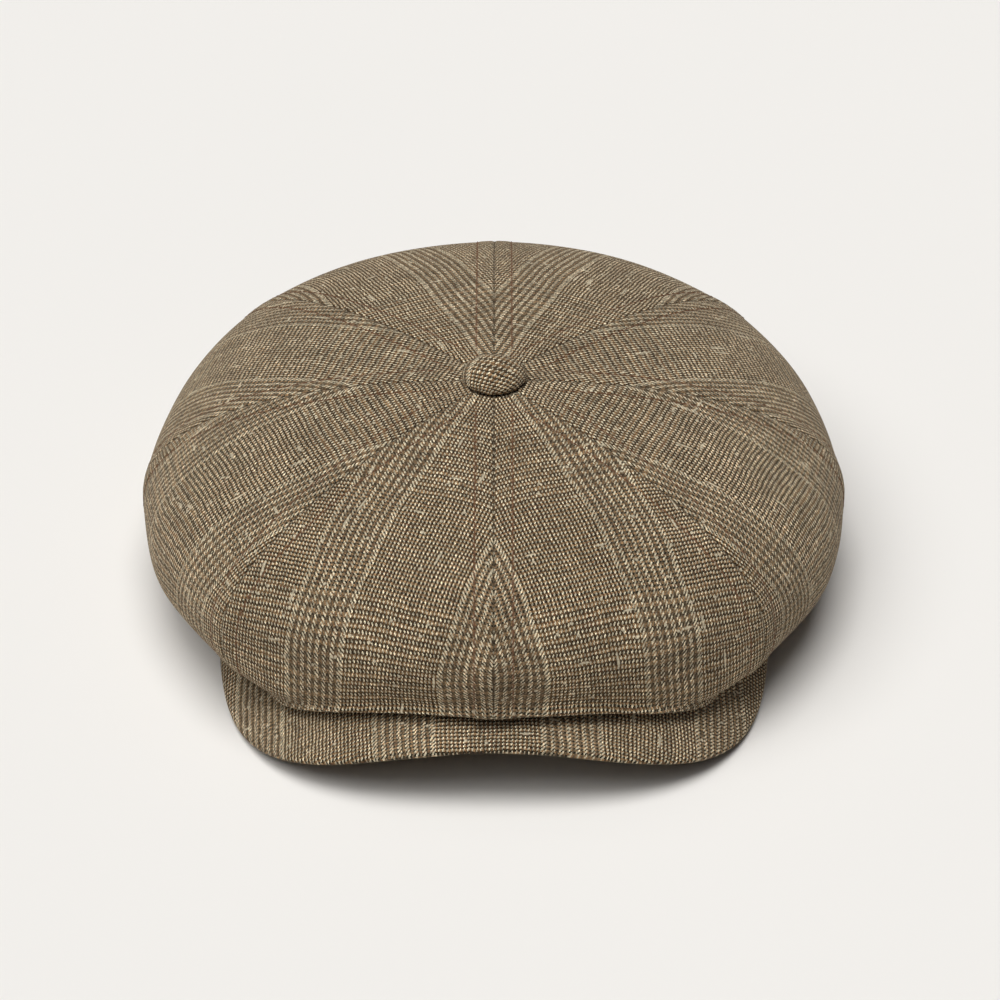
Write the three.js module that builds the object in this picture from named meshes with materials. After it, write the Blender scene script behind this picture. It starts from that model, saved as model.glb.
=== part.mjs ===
// A newsboy cap: a full crown of eight gores with a covered button, a lining, a sweatband
// round the head opening and a short stiff visor under the crown's front overhang.
// Millimetres, +Z up. The cap lies as it does on a table: on the back of its rim and on the
// visor's two front corners. Its front faces -Y and its right side (as worn) is -X.
//
// Inside this file a place is told by (across, forward, height): across is +X and forward is -Y,
// both measured from the button's axis. An angle round the crown is 0 at the front.
import * as THREE from 'three';
import { mergeVertices } from 'three/addons/utils/BufferGeometryUtils.js';

// ---- driving dimensions -------------------------------------------------------------------

const PANELS = 8;
const CROWN_TOP = 85.8; // height of the crown's outside under the button
const CROWN_FRONT = 139.1; // how far the crown reaches forward, back and to each side
const CROWN_BACK = 146.6;
const CROWN_SIDE = 136;
const CROWN_SQUARENESS = 2.13; // superellipse power of the crown's plan: 2 is an ellipse
const WIDEST_AT = { front: 45.5, side: 30.7, back: 49 }; // height of the crown's widest line
const TUCK_AT = { front: 21.4, side: -1, back: 0 }; // height the underside curves down towards
const DOME_FULLNESS = { front: 0.6, side: 0.63, back: 0.6 };
const SHOULDER_FULLNESS = 0.64;
const ROLL_FULLNESS = 0.65; // how round the crown's lower roll is
const TUCK_LENGTH = 0.71; // how level the underside runs in to the head opening
const DOME_SHARE = 0.56; // share of a panel's rows above its widest line

const HEAD_HALF_LENGTH = 100; // the head opening, an oval for a 58 cm head
const HEAD_HALF_WIDTH = 84;
const RIM_FRONT_HEIGHT = 36; // the head opening tilts: its back lies on the table
const BAND_HEIGHT = 32;
const BAND_THICK = 1.2;

const SHELL_THICK = 1.2; // crown cloth
const LINING_THICK = 0.6;
const GAP = 0.4; // between pieces that are sewn against each other
const LINING_GAP = 0.9; // the lining hangs a little loose inside the crown
const STALK_HOLE = 4.2; // radius left open where the panels' tips meet

const VISOR_EDGE = 148.8; // the visor's front edge: how far forward, and how high at its middle
const VISOR_EDGE_HEIGHT = 23.4;
const VISOR_SLOPE = THREE.MathUtils.degToRad(19.8);
const VISOR_ARCH = 148.5; // radius of its arch from side to side
const VISOR_HALF_WIDTH = 104.7;
const VISOR_WIDEST = 31.2; // how far forward its plan is centred
const VISOR_SQUARENESS = 3.16;
const VISOR_LEVELLING = 0.3; // share of the opening over which it levels out to meet the rim
const VISOR_SEAM_HALF = THREE.MathUtils.degToRad(66); // half the stretch of rim it is sewn to
const VISOR_PLAN_HALF = THREE.MathUtils.degToRad(84);
const HORN_STARTS = 0.85; // share of the half visor where its end begins to round off
const HORN_WIDTH = 0.12; // share of the width left at its very end
const BOARD_THICK = 1.4;
const COVER_THICK = 0.6;
const LAYER_GAP = 0.3;
const EDGE_TURN = 1.8; // the covers reach past the board by this much

const BUTTON_RADIUS = 12.75;
const BUTTON_RISE = 6.2;
const BUTTON_CLOTH = 1;
const BUTTON_METAL = 0.6;
const STALK_RADIUS = 2.4;
const WASHER_RADIUS = 7;

const LABEL_WIDTH = 44;
const LABEL_HEIGHT = 18;

// ---- materials ------------------------------------------------------------------------------

const cloth = (color, roughness) => new THREE.MeshStandardMaterial({ color, roughness, metalness: 0 });
const TWEED = 0x86765c;

const makeTweed = () => cloth(TWEED, 0.95);
const makeLiningCloth = () => cloth(0x4a3f33, 0.6);
const makeBandCloth = () => cloth(0x2f2a26, 0.85);
const makeBoardPlastic = () => cloth(0xd8d4cc, 0.7);
const makeLabelCloth = () => cloth(0xe6dfd0, 0.8);
const makeSteel = () => new THREE.MeshStandardMaterial({ color: 0xb9b9b6, roughness: 0.35, metalness: 1 });

// ---- helpers --------------------------------------------------------------------------------

const place = (across, forward, height) => new THREE.Vector3(across, -forward, height);

function weld(geometry) {
  geometry.deleteAttribute('normal');
  geometry.deleteAttribute('uv');
  const welded = mergeVertices(geometry, 1e-5);
  welded.computeVertexNormals();
  return welded;
}

// A closed slab of columns x rows cells. placeCorner says where each corner (u, v, w) goes:
// u along the columns, v along the rows and w through the thickness, each from 0 to 1.
function bentSlab(columns, rows, placeCorner) {
  const positions = [];
  for (const w of [0, 1]) {
    for (let row = 0; row <= rows; row += 1) {
      for (let column = 0; column <= columns; column += 1) {
        positions.push(...placeCorner(column / columns, row / rows, w).toArray());
      }
    }
  }
  const corner = (column, row, layer) => (layer * (rows + 1) + row) * (columns + 1) + column;
  const faces = [];
  const addQuad = (a, b, c, d) => faces.push(a, b, c, a, c, d);
  for (let row = 0; row < rows; row += 1) {
    for (let column = 0; column < columns; column += 1) {
      const cell = [corner(column, row, 1), corner(column + 1, row, 1)];
      cell.push(corner(column + 1, row + 1, 1), corner(column, row + 1, 1));
      const layerSize = corner(0, 0, 1);
      addQuad(...cell);
      addQuad(cell[0] - layerSize, cell[3] - layerSize, cell[2] - layerSize, cell[1] - layerSize);
    }
  }
  const addWall = (here, next) =>
    addQuad(corner(...here, 0), corner(...next, 0), corner(...next, 1), corner(...here, 1));
  for (let column = 0; column < columns; column += 1) {
    addWall([column, 0], [column + 1, 0]);
    addWall([column + 1, rows], [column, rows]);
  }
  for (let row = 0; row < rows; row += 1) {
    addWall([0, row + 1], [0, row]);
    addWall([columns, row], [columns, row + 1]);
  }
  const geometry = new THREE.BufferGeometry();
  geometry.setAttribute('position', new THREE.Float32BufferAttribute(positions, 3));
  geometry.setIndex(faces);
  geometry.computeVertexNormals();
  return geometry;
}

function piece(name, geometry, material) {
  const mesh = new THREE.Mesh(geometry, material);
  mesh.name = name;
  return mesh;
}

// The unit normal of a surface at (a, b), from points a small step either side.
function normalOf(surface, a, b, stepA, stepB) {
  const alongA = surface(a + stepA, b).sub(surface(a - stepA, b));
  const alongB = surface(a, b + stepB).sub(surface(a, b - stepB));
  return alongA.cross(alongB).normalize();
}

function superellipse(angle, ahead, aside, power) {
  const forwardShare = Math.abs(Math.cos(angle) / ahead) ** power;
  const sideShare = Math.abs(Math.sin(angle) / aside) ** power;
  return (forwardShare + sideShare) ** (-1 / power);
}

// A value that is `front` ahead, `side` at either side and `back` behind.
function roundTheCrown(values, angle) {
  const ahead = Math.cos(angle);
  const end = ahead > 0 ? values.front : values.back;
  return values.side + (end - values.side) * ahead * ahead;
}

// The higher of two heights, rounded off where they cross.
function higherOf(a, b) {
  const softness = 3;
  return (a + b + Math.hypot(a - b, softness) - softness / 4) / 2;
}

// ---- the head opening -----------------------------------------------------------------------

const rimRadius = (angle) => superellipse(angle, HEAD_HALF_LENGTH, HEAD_HALF_WIDTH, 2);
const rimSlope = RIM_FRONT_HEIGHT / (2 * HEAD_HALF_LENGTH);
const rimTilt = Math.atan(rimSlope);
const rimHeight = (forward) => rimSlope * (forward + HEAD_HALF_LENGTH);

// ---- the visor's middle surface ---------------------------------------------------------------

// Height of the visor's middle: an arch that slopes forward and levels out at the rim.
function visorHeight(across, forward) {
  const drop = VISOR_ARCH - Math.sqrt(VISOR_ARCH ** 2 - Math.min(Math.abs(across), 0.9 * VISOR_ARCH) ** 2);
  const rise = (VISOR_EDGE - forward) * Math.tan(VISOR_SLOPE);
  const arch = VISOR_EDGE_HEIGHT + rise - drop / Math.cos(VISOR_SLOPE);
  const pastRim = Math.hypot(across / HEAD_HALF_WIDTH, forward / HEAD_HALF_LENGTH) - 1;
  const share = THREE.MathUtils.smoothstep(pastRim, 0, VISOR_LEVELLING);
  return THREE.MathUtils.lerp(rimHeight(forward), arch, share);
}

const visorPlanRadius = (angle) =>
  superellipse(angle, VISOR_EDGE - VISOR_WIDEST, VISOR_HALF_WIDTH, VISOR_SQUARENESS);

// A point of the visor in plan: turn runs -1 to 1 from one end to the other, and
// out runs 0 to 1 from the head opening to the outer edge.
function visorPlan(turn, out) {
  const seamAngle = turn * VISOR_SEAM_HALF;
  const seamRadius = rimRadius(seamAngle) + 2 * GAP;
  const inner = new THREE.Vector2(Math.sin(seamAngle), Math.cos(seamAngle)).multiplyScalar(seamRadius);
  const planAngle = turn * VISOR_PLAN_HALF;
  const planRadius = visorPlanRadius(planAngle);
  const outer = new THREE.Vector2(Math.sin(planAngle), Math.cos(planAngle)).multiplyScalar(planRadius);
  outer.y += VISOR_WIDEST;
  const intoHorn = Math.max(0, (Math.abs(turn) - HORN_STARTS) / (1 - HORN_STARTS));
  const width = HORN_WIDTH + (1 - HORN_WIDTH) * Math.sqrt(1 - Math.min(1, intoHorn) ** 2);
  return inner.lerp(outer, out * width);
}

function visorWidthAt(turn) {
  return visorPlan(turn, 1).distanceTo(visorPlan(turn, 0));
}

// A point of the visor, lifted off its middle surface by `lift` along the surface's normal.
function visorPoint(turn, out, lift) {
  const plan = visorPlan(turn, out);
  const surface = (across, forward) => place(across, forward, visorHeight(across, forward));
  const normal = normalOf(surface, plan.x, plan.y, 1, -1);
  return surface(plan.x, plan.y).addScaledVector(normal, lift);
}

// ---- the crown's outside ------------------------------------------------------------------------

const visorHalfThick = BOARD_THICK / 2 + LAYER_GAP + COVER_THICK;
const OVER_VISOR = 1.25 * visorHalfThick + 4 * GAP; // the underside above the visor's middle

// The least height of the crown's underside: it lies on the visor, and beyond the visor's
// edge it may hang lower the further out it is.
function lowestOver(across, forward) {
  const margin = 6;
  const steepness = 0.8;
  const angle = Math.atan2(across, forward - VISOR_WIDEST);
  const reach = Math.hypot(across, forward - VISOR_WIDEST);
  const pastEdge = Math.max(0, reach - visorPlanRadius(angle) - margin);
  const behindHorn = Math.max(0, VISOR_WIDEST - forward);
  const level = visorHeight(across, forward) + OVER_VISOR;
  return level - steepness * Math.hypot(pastEdge, behindHorn);
}

// A point of the crown's outside. down runs 0 at the button to 1 at the head opening.
function crownPoint(angle, down) {
  const behind = Math.cos(angle) > 0 ? CROWN_FRONT : CROWN_BACK;
  const radius = superellipse(angle, behind, CROWN_SIDE, CROWN_SQUARENESS);
  const widest = roundTheCrown(WIDEST_AT, angle);
  const rim = rimRadius(angle);
  const rimAt = rimHeight(rim * Math.cos(angle));
  const start = STALK_HOLE / (3 * roundTheCrown(DOME_FULLNESS, angle) * radius);
  const dome = new THREE.CubicBezierCurve(
    new THREE.Vector2(0, CROWN_TOP),
    new THREE.Vector2(roundTheCrown(DOME_FULLNESS, angle) * radius, CROWN_TOP),
    new THREE.Vector2(radius, THREE.MathUtils.lerp(widest, CROWN_TOP, SHOULDER_FULLNESS)),
    new THREE.Vector2(radius, widest),
  );
  const tuck = roundTheCrown(TUCK_AT, angle);
  const roll = new THREE.CubicBezierCurve(
    new THREE.Vector2(radius, widest),
    new THREE.Vector2(radius, THREE.MathUtils.lerp(widest, tuck, ROLL_FULLNESS)),
    new THREE.Vector2(THREE.MathUtils.lerp(rim, radius, TUCK_LENGTH), tuck),
    new THREE.Vector2(rim, rimAt),
  );
  const profile =
    down < DOME_SHARE
      ? dome.getPoint(start + (1 - start) * (down / DOME_SHARE))
      : roll.getPoint((down - DOME_SHARE) / (1 - DOME_SHARE));
  const across = profile.x * Math.sin(angle);
  const forward = profile.x * Math.cos(angle);
  const isUnderside = down > DOME_SHARE;
  const height = isUnderside ? higherOf(profile.y, lowestOver(across, forward)) : profile.y;
  return place(across, forward, height);
}

// ---- panels ---------------------------------------------------------------------------------------

const PANEL_COLUMNS = 5;
const PANEL_ROWS = 16;
const ANGLE_STEP = 0.03; // how far apart the points are that a panel's slope is measured over
const DOWN_STEP = 0.02;

const panelName = (index) => {
  const places = ['front', 'front_side', 'rear_side', 'rear'];
  const onLeft = index < PANELS / 2; // the wearer's left is +X
  return `${places[onLeft ? index : PANELS - 1 - index]}_${onLeft ? 'left' : 'right'}`;
};

// One gore between two seams: a sheet from `depth` under the crown's outside to depth + thick.
// It has the first `rows` of the PANEL_ROWS that lead from the button to the head opening.
function makePanel(index, depth, thick, rows) {
  const step = (2 * Math.PI) / PANELS;
  const near = 1e-3;
  return bentSlab(PANEL_COLUMNS, rows, (u, v, w) => {
    const down = THREE.MathUtils.clamp(((1 - v) * rows) / PANEL_ROWS, near, 1 - near);
    const angle = (index + u) * step;
    const radius = Math.hypot(crownPoint(angle, down).x, crownPoint(angle, down).y);
    const inFromSeam = ((0.5 - u) * GAP) / radius;
    const shifted = angle + inFromSeam;
    const outward = normalOf(crownPoint, shifted, down, ANGLE_STEP, -Math.min(DOWN_STEP, down, 1 - down));
    return crownPoint(shifted, down).addScaledVector(outward, -(depth + (1 - w) * thick));
  });
}

function makeCrown() {
  const crown = new THREE.Group();
  for (let index = 0; index < PANELS; index += 1) {
    const gore = makePanel(index, 0, SHELL_THICK, PANEL_ROWS);
    crown.add(piece(`panel_${panelName(index)}`, gore, makeTweed()));
  }
  return crown;
}

function makeLining() {
  const lining = new THREE.Group();
  const depth = SHELL_THICK + LINING_GAP;
  for (let index = 0; index < PANELS; index += 1) {
    const gore = makePanel(index, depth, LINING_THICK, PANEL_ROWS - 1);
    lining.add(piece(`lining_${panelName(index)}`, gore, makeLiningCloth()));
  }
  return lining;
}

// ---- sweatband and its label ----------------------------------------------------------------------

const bandOuterWidth = HEAD_HALF_WIDTH - GAP;
const bandOuterLength = (HEAD_HALF_LENGTH - GAP) / Math.cos(rimTilt);

// The band stands square to the head opening's plane: x is across and y is backwards in it.
function makeSweatband() {
  const outline = new THREE.Shape().absellipse(0, 0, bandOuterWidth, bandOuterLength, 0, 2 * Math.PI);
  const inside = new THREE.Path();
  inside.absellipse(0, 0, bandOuterWidth - BAND_THICK, bandOuterLength - BAND_THICK, 0, 2 * Math.PI);
  outline.holes.push(inside);
  const options = { depth: BAND_HEIGHT, bevelEnabled: false, curveSegments: 24, steps: 1 };
  return piece('sweatband', weld(new THREE.ExtrudeGeometry(outline, options)), makeBandCloth());
}

// A blank woven size label sewn inside the band at the back.
function makeLabel() {
  const thick = 0.5;
  const reach = bandOuterLength - BAND_THICK - GAP;
  const half = LABEL_WIDTH / 2;
  const geometry = bentSlab(10, 1, (u, v, w) => {
    const across = THREE.MathUtils.lerp(-half, half, u);
    const curved = reach * Math.sqrt(1 - (across / bandOuterWidth) ** 2);
    const height = (BAND_HEIGHT - LABEL_HEIGHT) / 2 + LABEL_HEIGHT * w;
    return new THREE.Vector3(across, curved - thick * (1 - v), height);
  });
  return piece('size_label', geometry, makeLabelCloth());
}

function makeBandGroup() {
  const band = new THREE.Group();
  band.add(makeSweatband(), makeLabel());
  band.rotation.x = -rimTilt;
  band.position.z = rimHeight(0);
  return band;
}

// ---- visor ------------------------------------------------------------------------------------------

const VISOR_COLUMNS = 28;
const BOARD_ROWS = 5;

// Shares of the way out at which the covers' rows lie: even ones over the board, then one at
// each distance in from the outer edge that the edge seam needs.
function rowShares(turn) {
  const width = visorWidthAt(turn);
  const edge = [EDGE_TURN + LAYER_GAP, EDGE_TURN - LAYER_GAP, EDGE_TURN / 2, 0].map((d) => 1 - d / width);
  const even = Array.from({ length: BOARD_ROWS }, (_, row) => (row / BOARD_ROWS) * edge[0]);
  return [...even, ...edge];
}

// side is 1 for the top cover and -1 for the under cover. Past the board's edge the covers
// turn towards each other and meet at the edge seam.
function makeVisorCover(name, side) {
  const inside = BOARD_THICK / 2 + LAYER_GAP;
  const meet = LAYER_GAP;
  const innerLifts = [...Array(BOARD_ROWS + 2).fill(inside), meet, meet];
  const rows = innerLifts.length - 1;
  const geometry = bentSlab(VISOR_COLUMNS, rows, (u, v, w) => {
    const row = Math.round((1 - v) * rows);
    const isOutside = side > 0 ? w === 1 : w === 0;
    const lift = isOutside ? visorHalfThick : innerLifts[row];
    const turn = 2 * u - 1;
    return visorPoint(turn, rowShares(turn)[row], side * lift);
  });
  return piece(name, geometry, makeTweed());
}

// The board stops one column short of the covers' ends.
function makeVisorBoard() {
  const reach = 1 - 2 / VISOR_COLUMNS;
  const geometry = bentSlab(VISOR_COLUMNS - 2, BOARD_ROWS, (u, v, w) => {
    const turn = (2 * u - 1) * reach;
    const row = Math.round((1 - v) * BOARD_ROWS);
    return visorPoint(turn, rowShares(turn)[row], (w - 0.5) * BOARD_THICK);
  });
  return piece('visor_board', geometry, makeBoardPlastic());
}

function makeVisor() {
  const visor = new THREE.Group();
  visor.add(makeVisorCover('visor_top_cover', 1));
  visor.add(makeVisorBoard());
  visor.add(makeVisorCover('visor_under_cover', -1));
  return visor;
}

// ---- button -----------------------------------------------------------------------------------------

// Half a dome's outline, from its top on the axis to its edge.
function domeOutline(radius, rise) {
  const steps = 5;
  const fullness = 0.8;
  return Array.from({ length: steps + 1 }, (_, i) => {
    const angle = (i / steps) * (Math.PI / 2);
    return new THREE.Vector2(radius * Math.sin(angle), rise * Math.cos(angle) ** fullness);
  });
}

// A domed cap with a wall `thick`, open underneath, turned about the button's axis.
function turnedCap(radius, rise, thick, segments) {
  const inside = domeOutline(radius - thick, rise - thick);
  const outside = domeOutline(radius, rise).reverse();
  return weld(new THREE.LatheGeometry([...inside, ...outside], segments));
}

// A solid turned about the button's axis, from [radius, height] corners taken anticlockwise.
function turned(corners, segments) {
  return weld(new THREE.LatheGeometry(corners.map(([r, z]) => new THREE.Vector2(r, z)), segments));
}

function makeButton() {
  const button = new THREE.Group();
  const shellRadius = BUTTON_RADIUS - BUTTON_CLOTH - GAP;
  const shellRise = BUTTON_RISE - BUTTON_CLOTH - GAP;
  button.add(piece('button_cover', turnedCap(BUTTON_RADIUS, BUTTON_RISE, BUTTON_CLOTH, 24), makeTweed()));
  button.add(piece('button_shell', turnedCap(shellRadius, shellRise, BUTTON_METAL, 24), makeSteel()));

  // The back plate closes the shell, and its stalk goes down through crown and lining.
  const plateRadius = shellRadius - BUTTON_METAL - GAP;
  const plateFoot = 0.2;
  const plateTop = 1.2;
  const stalkEnd = -(SHELL_THICK + LINING_GAP + LINING_THICK) - 3;
  const back = [
    [0, stalkEnd],
    [STALK_RADIUS, stalkEnd],
    [STALK_RADIUS, plateFoot],
    [plateRadius, plateFoot],
    [plateRadius, plateTop],
    [0, plateTop],
  ];
  button.add(piece('button_back', turned(back, 24), makeSteel()));

  // The washer that holds the stalk under the lining.
  const washerTop = stalkEnd + 2.2;
  const washerFoot = washerTop - 1;
  const washerHole = STALK_RADIUS + GAP;
  const washer = [
    [washerHole, washerFoot],
    [WASHER_RADIUS, washerFoot],
    [WASHER_RADIUS, washerTop],
    [washerHole, washerTop],
    [washerHole, washerFoot],
  ];
  button.add(piece('button_washer', turned(washer, 24), makeSteel()));

  for (const mesh of button.children) mesh.rotation.x = Math.PI / 2;
  button.position.z = CROWN_TOP + 0.3;
  return button;
}

// ---- the cap ------------------------------------------------------------------------------------------

// The origin is the middle of the cap's footprint, on the table.
function standOnTable(cap) {
  const box = new THREE.Box3().setFromObject(cap);
  const middle = box.getCenter(new THREE.Vector3());
  cap.position.set(-middle.x, -middle.y, -box.min.z);
  return cap;
}

const newsboyCap = new THREE.Group();
newsboyCap.name = 'newsboy_cap';
newsboyCap.add(makeCrown(), makeLining(), makeBandGroup(), makeVisor(), makeButton());

export default standOnTable(newsboyCap);
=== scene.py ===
# A newsboy cap in glen-check cloth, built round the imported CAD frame.
# Lengths are in millimetres, and places are (across, forward, height) from the button's axis and
# the head opening's lowest point, until `metres` puts them in the frame. Forward is the wearer's.
import math

import bpy
import numpy as np
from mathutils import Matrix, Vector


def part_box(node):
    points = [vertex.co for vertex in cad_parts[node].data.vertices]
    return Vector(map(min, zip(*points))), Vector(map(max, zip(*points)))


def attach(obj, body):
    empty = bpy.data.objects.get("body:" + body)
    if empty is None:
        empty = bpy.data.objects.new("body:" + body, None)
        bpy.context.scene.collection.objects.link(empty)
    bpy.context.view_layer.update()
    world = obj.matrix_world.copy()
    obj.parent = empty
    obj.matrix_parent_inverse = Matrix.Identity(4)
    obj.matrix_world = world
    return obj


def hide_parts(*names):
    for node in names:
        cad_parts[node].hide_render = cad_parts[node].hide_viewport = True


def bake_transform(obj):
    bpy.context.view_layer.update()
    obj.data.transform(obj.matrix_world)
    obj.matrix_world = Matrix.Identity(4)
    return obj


MM = 0.001
TURN = 2 * math.pi

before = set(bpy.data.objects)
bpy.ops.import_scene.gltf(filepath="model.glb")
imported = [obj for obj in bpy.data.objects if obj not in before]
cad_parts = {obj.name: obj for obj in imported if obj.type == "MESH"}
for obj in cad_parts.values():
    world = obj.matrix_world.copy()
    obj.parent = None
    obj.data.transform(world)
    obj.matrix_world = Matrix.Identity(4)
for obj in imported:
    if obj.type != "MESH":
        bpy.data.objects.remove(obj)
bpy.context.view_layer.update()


def corners_mm(node):
    """The lowest and highest corner of a CAD node, in millimetres."""
    low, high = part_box(node)
    return np.array(low) / MM, np.array(high) / MM


# ---- sizes read from the frame -------------------------------------------------------------------

washer_low, washer_high = corners_mm("button_washer")
front_low, front_high = corners_mm("panel_front_left")
side_high = corners_mm("panel_front_side_left")[1]
rear_high = corners_mm("panel_rear_left")[1]
visor_low, visor_high = corners_mm("visor_top_cover")
button_low, button_high = corners_mm("button_cover")

AXIS = (washer_low + washer_high) / 2  # the button's axis stands here

CROWN_TOP = 85.8  # above the head opening's lowest point
LIFT = front_high[2] - CROWN_TOP  # that point's height in the frame
CROWN_FRONT = AXIS[1] - front_low[1]
CROWN_BACK = rear_high[1] - AXIS[1]
CROWN_SIDE = side_high[0]
COVER_PAST_FRONT = 0.5  # the CAD's upper cover reaches this far past the visor's plan
COVER_PAST_SIDE = 0.4
VISOR_EDGE = AXIS[1] - visor_low[1] - COVER_PAST_FRONT
VISOR_HALF_WIDTH = visor_high[0] - COVER_PAST_SIDE
BUTTON_RADIUS = button_high[0]
BUTTON_RISE = button_high[2] - button_low[2]
BUTTON_BASE = button_low[2]

# ---- the curves of the crown and visor, which are the CAD's own ----------------------------------

PANELS = 8
SECTOR = TURN / PANELS
CROWN_SQUARENESS = 2.13
WIDEST_AT = (45.5, 30.7, 49)  # height of the widest line at the front, side and back
TUCK_AT = (21.4, -1, 0)
DOME_FULLNESS = (0.6, 0.63, 0.6)
SHOULDER_FULLNESS = 0.64
ROLL_FULLNESS = 0.65
TUCK_LENGTH = 0.71
DOME_SHARE = 0.56
HEAD_HALF_LENGTH = 100
HEAD_HALF_WIDTH = 84
RIM_RISE = 36  # the head opening is this much higher at the front
RIM_SLOPE = RIM_RISE / (2 * HEAD_HALF_LENGTH)
BAND_HEIGHT = 32
BAND_THICK = 1.2
STALK_HOLE = 4.2

VISOR_EDGE_HEIGHT = 23.4
VISOR_SLOPE = math.radians(19.8)
VISOR_ARCH = 148.5
VISOR_WIDEST = 31.2
VISOR_SQUARENESS = 3.16
VISOR_LEVELLING = 0.3
VISOR_SEAM_HALF = math.radians(66)
VISOR_PLAN_HALF = math.radians(84)
HORN_STARTS = 0.85
HORN_WIDTH = 0.12
VISOR_HALF_THICK = 1.6

SHELL_THICK = 1.2
LINING_THICK = 0.6
LINING_GAP = 0.7
LINING_SLACK = 0.35


def smoothstep(x, low, high):
    t = np.clip((x - low) / (high - low), 0, 1)
    return t * t * (3 - 2 * t)


def superellipse(angle, ahead, aside, power):
    forward_share = np.abs(np.cos(angle) / ahead) ** power
    side_share = np.abs(np.sin(angle) / aside) ** power
    return (forward_share + side_share) ** (-1 / power)


def round_the_crown(values, angle):
    front, side, back = values
    ahead = np.cos(angle)
    return side + (np.where(ahead > 0, front, back) - side) * ahead**2


def higher_of(a, b, softness):
    return (a + b + np.hypot(a - b, softness) - softness / 4) / 2


def rim_radius(angle):
    return superellipse(angle, HEAD_HALF_LENGTH, HEAD_HALF_WIDTH, 2)


def rim_height(forward):
    return RIM_SLOPE * (forward + HEAD_HALF_LENGTH)


def visor_height(across, forward):
    on_arch = np.minimum(np.abs(across), 0.9 * VISOR_ARCH)
    drop = VISOR_ARCH - np.sqrt(VISOR_ARCH**2 - on_arch**2)
    rise = (VISOR_EDGE - forward) * math.tan(VISOR_SLOPE)
    arch = VISOR_EDGE_HEIGHT + rise - drop / math.cos(VISOR_SLOPE)
    past_rim = np.hypot(across / HEAD_HALF_WIDTH, forward / HEAD_HALF_LENGTH) - 1
    share = smoothstep(past_rim, 0, VISOR_LEVELLING)
    return rim_height(forward) * (1 - share) + arch * share


def visor_plan_radius(angle):
    return superellipse(angle, VISOR_EDGE - VISOR_WIDEST, VISOR_HALF_WIDTH, VISOR_SQUARENESS)


def bezier(p0, p1, p2, p3, t):
    s = 1 - t
    return p0 * s**3 + 3 * p1 * s * s * t + 3 * p2 * s * t * t + p3 * t**3


def metres(points):
    """Places measured from the button's axis, as (across, forward, height), in the frame's metres."""
    across, forward, height = np.moveaxis(points, -1, 0)
    return np.stack([AXIS[0] + across, AXIS[1] - forward, height + LIFT], -1) * MM


def in_frame(points):
    """The same in the frame's millimetres."""
    return metres(points) / MM


def frame_direction(normals):
    return normals * (1, -1, 1)


# ---- soft irregularities -------------------------------------------------------------------------


class SoftNoise:
    """Smooth noise from -1 to 1 over a grid of random heights; it repeats along x."""

    def __init__(self, cells_x, cells_y, seed):
        draw = np.random.default_rng(seed)
        self.heights = draw.uniform(-1, 1, (cells_x, cells_y + 3))
        self.cells = (cells_x, cells_y)

    def __call__(self, x, y):
        """x and y run from 0 to 1 over the whole grid."""
        gx = np.mod(x, 1) * self.cells[0]
        gy = np.clip(y, 0, 1) * self.cells[1]
        ix = np.floor(gx).astype(int)
        iy = np.minimum(np.floor(gy).astype(int), self.cells[1])
        fx = gx - ix
        fy = gy - iy
        fx = fx * fx * (3 - 2 * fx)
        fy = fy * fy * (3 - 2 * fy)

        def at(dx, dy):
            return self.heights[(ix + dx) % self.cells[0], iy + dy]

        near = at(0, 0) * (1 - fx) + at(1, 0) * fx
        far = at(0, 1) * (1 - fx) + at(1, 1) * fx
        return near * (1 - fy) + far * fy


broad_dents = SoftNoise(13, 7, 11)
small_dents = SoftNoise(37, 16, 12)
gathers = SoftNoise(46, 5, 13)
fold_wave = SoftNoise(40, 1, 14)

# ---- the crown -----------------------------------------------------------------------------------

OVER_VISOR = VISOR_HALF_THICK / math.cos(VISOR_SLOPE) + 0.5
PAST_VISOR = 5  # the crown stays at the visor's level until this far past its edge,
FALL_OFF_VISOR = 0.85  # and then falls away by this much for each millimetre
FRONT_GAP = 1.8  # the fold over the visor's middle stands this much further off it,
FRONT_WAVE = 0.7  # with soft waves of this height
FRONT_FOLD = (0.74, 0.84)  # cosines of the angles where that fold begins and is full
CORNER_AT = math.radians(33)  # the crown bulges and sags over the visor's corners
CORNER_SPREAD = math.radians(12)
CORNER_BULGE = 9
CORNER_SAG = 6
FOLD_LIP = 4.2  # how far the fold over the visor's middle hangs past the cloth tucked under it
FOLD_LIP_AT = (0.72, 0.84)
SIDE_LIP = 1.5  # the same beside the middle
SIDE_LIP_AT = (0.3, 0.7)
LIP_CLEAR = 1.2  # the lip is fullest this far above the visor
LIP_WIDTH = 2.7
JUST_OFF_FLOOR = 0.15


def lowest_over(across, forward):
    """The least height of the crown's underside, which lies on the visor."""
    angle = np.arctan2(across, forward - VISOR_WIDEST)
    reach = np.hypot(across, forward - VISOR_WIDEST)
    past_edge = np.maximum(0, reach - visor_plan_radius(angle) - PAST_VISOR)
    behind_horn = np.maximum(0, VISOR_WIDEST - forward)
    at_front = smoothstep(forward / np.hypot(across, forward), *FRONT_FOLD)
    wave = fold_wave(np.arctan2(across, forward) / TURN, 0.5)
    gap = at_front * (FRONT_GAP + FRONT_WAVE * wave)
    level = visor_height(across, forward) + OVER_VISOR + gap
    return level - FALL_OFF_VISOR * np.hypot(past_edge, behind_horn)


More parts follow.
